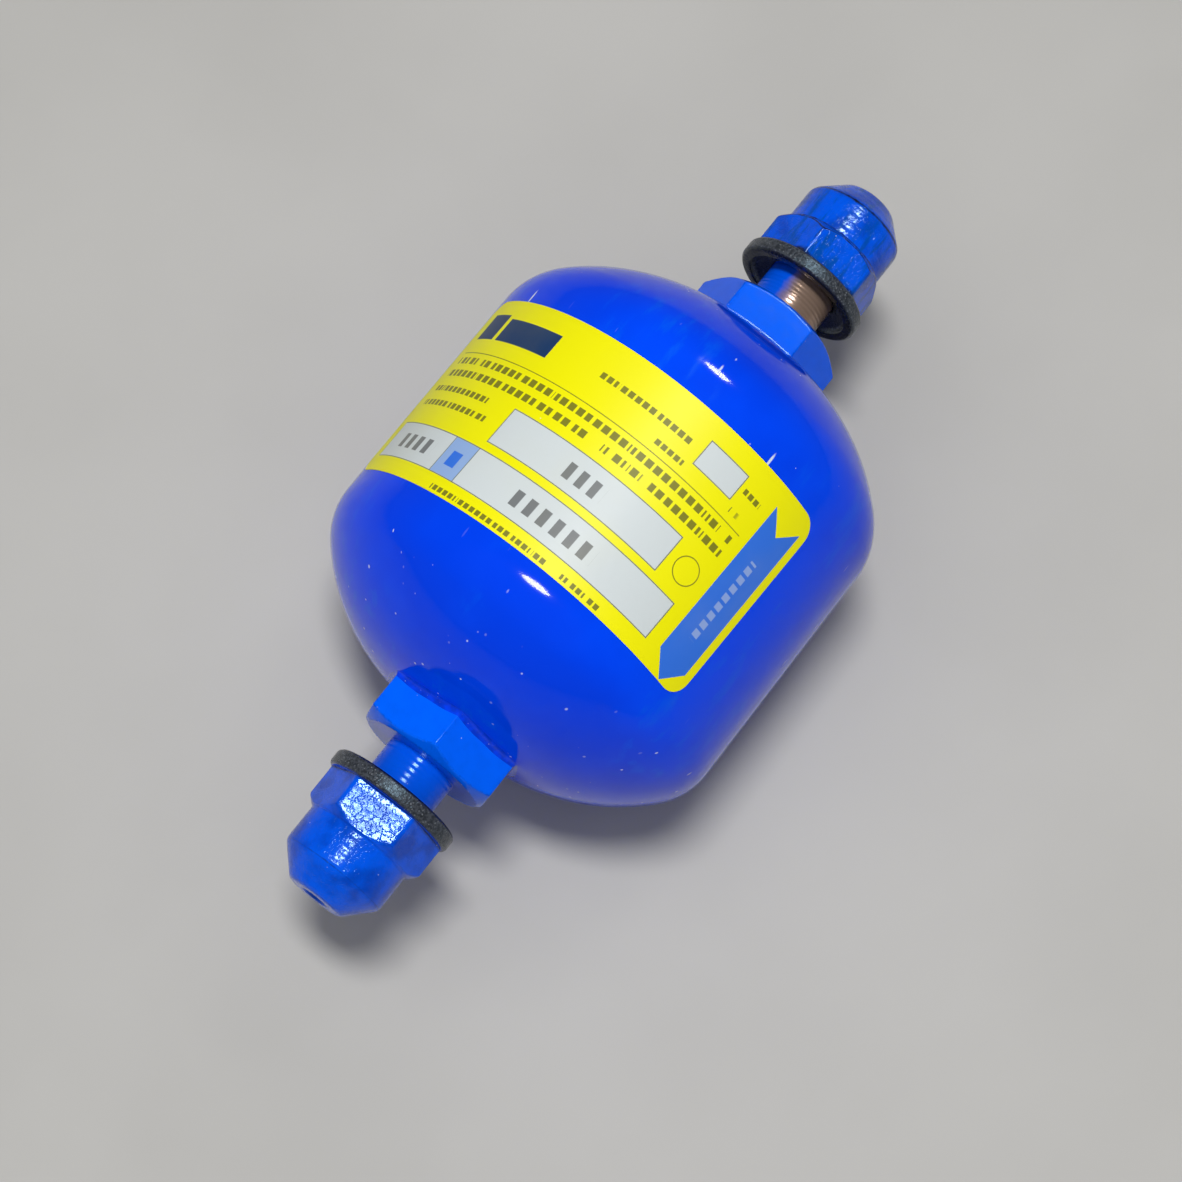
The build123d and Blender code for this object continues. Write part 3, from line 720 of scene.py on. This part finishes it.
def cap_finish(end, coat, streaks):
    material, shader, place = new_finish(f"{end}_cap_overspray")
    edge = place.node("Attribute", {"attribute_name": "edge"}, {}, 2)
    x, y, z = (place.node("SeparateXYZ", {}, {0: place}, i) for i in range(3))
    along = x * ENDS[end]
    around = y.math("ARCTAN2", z)
    fine, cloud = grain(place, 1.5, 4, 0.6), grain(place, 0.22, 4)
    wiped = place.node("Mapping", {}, {0: place, "Scale": (0.14, 0.7, 0.7)})
    streak = grain(wiped, 1.0, 4, 0.65)
    reach = along.rise(CAP_FLANGE_X - 0.35, CAP_FLANGE_X + 0.15)
    on_top = along.rise(CAP_HEX_X - 2.2, CAP_HEX_X - 0.6)
    worn = edge * (1 - 0.28 * on_top)
    paint = reach * (coat - 0.85 * worn) + 0.30 * (fine - 0.5) + 0.30 * (cloud - 0.5)
    paint = (paint + streaks * (streak - 0.5)).rise(0.20, 0.62)
    colour = (0.60 * cloud.rise(0.42, 0.66)).cover(CAP_BLUE, CAP_BLUE_DEEP)
    colour = (streaks * streak.rise(0.45, 0.65)).cover(colour, CAP_TEAL)
    colour = paint.cover(CAP_BLACK, colour)
    rim = along.rise(CAP_X + 0.10, CAP_X + 0.45) * along.rise(CAP_FLANGE_X + 0.05, CAP_FLANGE_X - 0.25)
    scuff_and_sheen = rim * (0.35 + 0.65 * grain(place, 2.6, 3).rise(0.40, 0.60))
    # The grey on the flange rim is scuffed plastic, lightened as a painted sheen.
    colour = scuff_and_sheen.cover(colour, FLANGE_SCUFF_SHEEN)
    # The grey-white dots on the rim are painted glints.
    painted_glints = rim * dots(place, 2.6, 0.75, 0.15)
    colour = (0.45 * painted_glints).cover(colour, FLANGE_GLINT)
    under = along.rise(CAP_X + 0.5, CAP_X + 0.1) * grain(place, 0.55, 3).rise(0.60, 0.72)
    colour = (0.4 * under).cover(colour, CAP_BLUE_DEEP)
    colour = dots(place, 0.8, 0.22, 0.12).cover(colour, DUST)
    spiral = (along * (2 * pi / THREAD_PITCH) + around).math("SINE")
    on_body = along.rise(CAP_HEX_X - 0.1, CAP_HEX_X + 0.6)
    orange_peel = (grain(place, 1.1, 2, 0.5) - 0.5).math("ABSOLUTE").rise(0.0, 0.06)
    height = 2.2 * orange_peel + 4.5 * grain(place, 0.35, 2)
    height = height + 1.1 * on_body * spiral + 7 * rim * grain(place, 1.7, 3, 0.7)
    feed(
        shader,
        Base_Color=colour,
        Roughness=0.09 + 0.08 * cloud + 0.15 * rim,
        Normal=bumped(place, height, 0.010),
        IOR=1.42, Specular_Tint=BLUE_SHEEN,
    )
    return material


for end, hand in ENDS.items():
    turn = radians(CAP_TURNS[end])
    piece = skin(
        f"{end}_cap_moulding",
        lambda angle: [(x * hand, r, e) for x, r, e in cap_outline(angle, turn)],
        hex_angles(CAP_TURNS[end], cap_flats, CAP_HEX_ROUND, 9, 14), closed=False, crease=50,
    )
    piece.data.materials.append(cap_finish(end, *CAP_COATS[end]))
    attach(piece, f"{end}_cap")
    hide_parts(f"{end}_cap")

# ---- Pieces inside and the cap seals
# The desiccant block, its pads, gasket and screen, and the pressed and coiled steel pieces that hold it are
# loaded before the shell is closed. Each cap holds a soft disc that closes on the flare nose. These pieces
# keep their solid shapes and only take a finish.


def hidden_finish(name, light, dark, rough, scale, depth, metal=0.0):
    material, shader, place = new_finish(name)
    texture = grain(place, scale, 5, 0.6)
    feed(
        shader,
        Base_Color=texture.rise(0.3, 0.7).cover(dark, light),
        Roughness=rough + 0.15 * texture, Metallic=metal,
        Normal=bumped(place, texture, depth),
    )
    return material


# A finish is light colour, dark colour, roughness, grains to the millimetre, depth of grain and metal.
INSIDE_FINISHES = {
    "plain_steel": ((0.56, 0.56, 0.55, 1), (0.44, 0.44, 0.44, 1), 0.28, 1.2, 0.01, 1.0),
    "white_felt": ((0.80, 0.79, 0.75, 1), (0.60, 0.59, 0.55, 1), 0.75, 3.0, 0.15),
    "gasket_fibre": ((0.30, 0.24, 0.18, 1), (0.18, 0.14, 0.10, 1), 0.65, 2.5, 0.06),
    "desiccant_block": ((0.66, 0.60, 0.50, 1), (0.46, 0.40, 0.32, 1), 0.80, 1.8, 0.20),
    "seal_rubber": ((0.030, 0.030, 0.032, 1), (0.014, 0.014, 0.015, 1), 0.45, 2.0, 0.02),
}
INSIDE_PIECES = {
    "plain_steel": ("perforated_cup", "outlet_screen", "spring_plate", "spring"),
    "white_felt": ("outlet_pad", "inlet_pad"),
    "gasket_fibre": ("core_gasket",),
    "desiccant_block": ("core_block",),
    "seal_rubber": ("inlet_cap_seal", "outlet_cap_seal"),
}
for finish, pieces in INSIDE_PIECES.items():
    material = hidden_finish(finish, *INSIDE_FINISHES[finish])
    for name in pieces:
        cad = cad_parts[name]
        cad.data.materials.clear()
        cad.data.materials.append(material)

# ---- Floor, light and camera
# A pale matt floor under the barrel, soft lamps overhead and a dim, even room. One lamp only fills the
# shadows, and one only gives the highlight on the inlet's side. Lengths in this section are in metres.
FLOOR_Z = -SHELL_RADIUS / 1000
FLOOR_REACH = 3.0
FLOOR_PALE = (0.50, 0.495, 0.48, 1)
FLOOR_SHADE = (0.46, 0.455, 0.44, 1)
floor_corners = [(x * FLOOR_REACH, y * FLOOR_REACH, FLOOR_Z) for x, y in ((-1, -1), (1, -1), (1, 1), (-1, 1))]
floor_mesh = bpy.data.meshes.new("floor")
floor_mesh.from_pydata(floor_corners, [], [(0, 1, 2, 3)])
floor = bpy.data.objects.new("floor", floor_mesh)
bpy.context.scene.collection.objects.link(floor)
floor_paint, floor_shader, floor_place = new_finish("floor_paint")
floor_tone = grain(floor_place, 0.02, 4).rise(0.2, 0.8)
feed(floor_shader, Base_Color=floor_tone.cover(FLOOR_PALE, FLOOR_SHADE), Roughness=0.7)
floor.data.materials.append(floor_paint)

LAMP_WHITE = (1.0, 0.99, 0.97)
# A lamp is its place, size and power, whether it lights what it shines on, and whether it is mirrored there.
LAMPS = {
    "overhead_lamp": ((0.0, 0.03, 1.20), (0.17, 0.34), 10.2, True, True),
    "inlet_side_lamp": ((-0.62, 0.09, 1.03), (0.30, 0.16), 8.0, False, True),
    "fill": ((0.62, -0.02, 1.25), (2.2, 2.2), 8.0, True, False),
}
for name, (at, size, power, lights, mirrored) in LAMPS.items():
    panel = bpy.data.lights.new(name, "AREA")
    panel.shape, panel.energy = "ELLIPSE", power
    panel.size, panel.size_y = size
    panel.color = LAMP_WHITE
    lamp = bpy.data.objects.new(name, panel)
    lamp.location = at
    lamp.rotation_euler = Vector(at).to_track_quat("Z", "Y").to_euler()
    lamp.visible_diffuse, lamp.visible_glossy = lights, mirrored
    bpy.context.scene.collection.objects.link(lamp)

ROOM_WALLS = (0.15, 0.155, 0.16, 1)
ROOM_CEILING = (0.07, 0.073, 0.077, 1)
room = bpy.data.worlds.new("room")
room.use_nodes = True
look = Value(room.node_tree.nodes.new("ShaderNodeTexCoord").outputs["Generated"])
upward = look.node("SeparateXYZ", {}, {0: look}, 2).rise(0.0, 0.7)
feed(room.node_tree.nodes["Background"], Color=upward.cover(ROOM_WALLS, ROOM_CEILING), Strength=1.0)
bpy.context.scene.world = room
bpy.context.scene.view_settings.view_transform = "Standard"

CAMERA_PLACE = (0.1047, 0.0811, 0.3818)
CAMERA_TURN = (18.043, 0.439, 127.197)
CAMERA_SENSOR, CAMERA_LENS = 36.0, 85.702
lens = bpy.data.cameras.new("camera")
lens.sensor_width, lens.lens = CAMERA_SENSOR, CAMERA_LENS
lens.clip_start, lens.clip_end = 0.01, 10.0
camera = bpy.data.objects.new("camera", lens)
camera.location = CAMERA_PLACE
camera.rotation_euler = Euler([radians(angle) for angle in CAMERA_TURN], "XYZ")
bpy.context.scene.collection.objects.link(camera)
bpy.context.scene.camera = camera
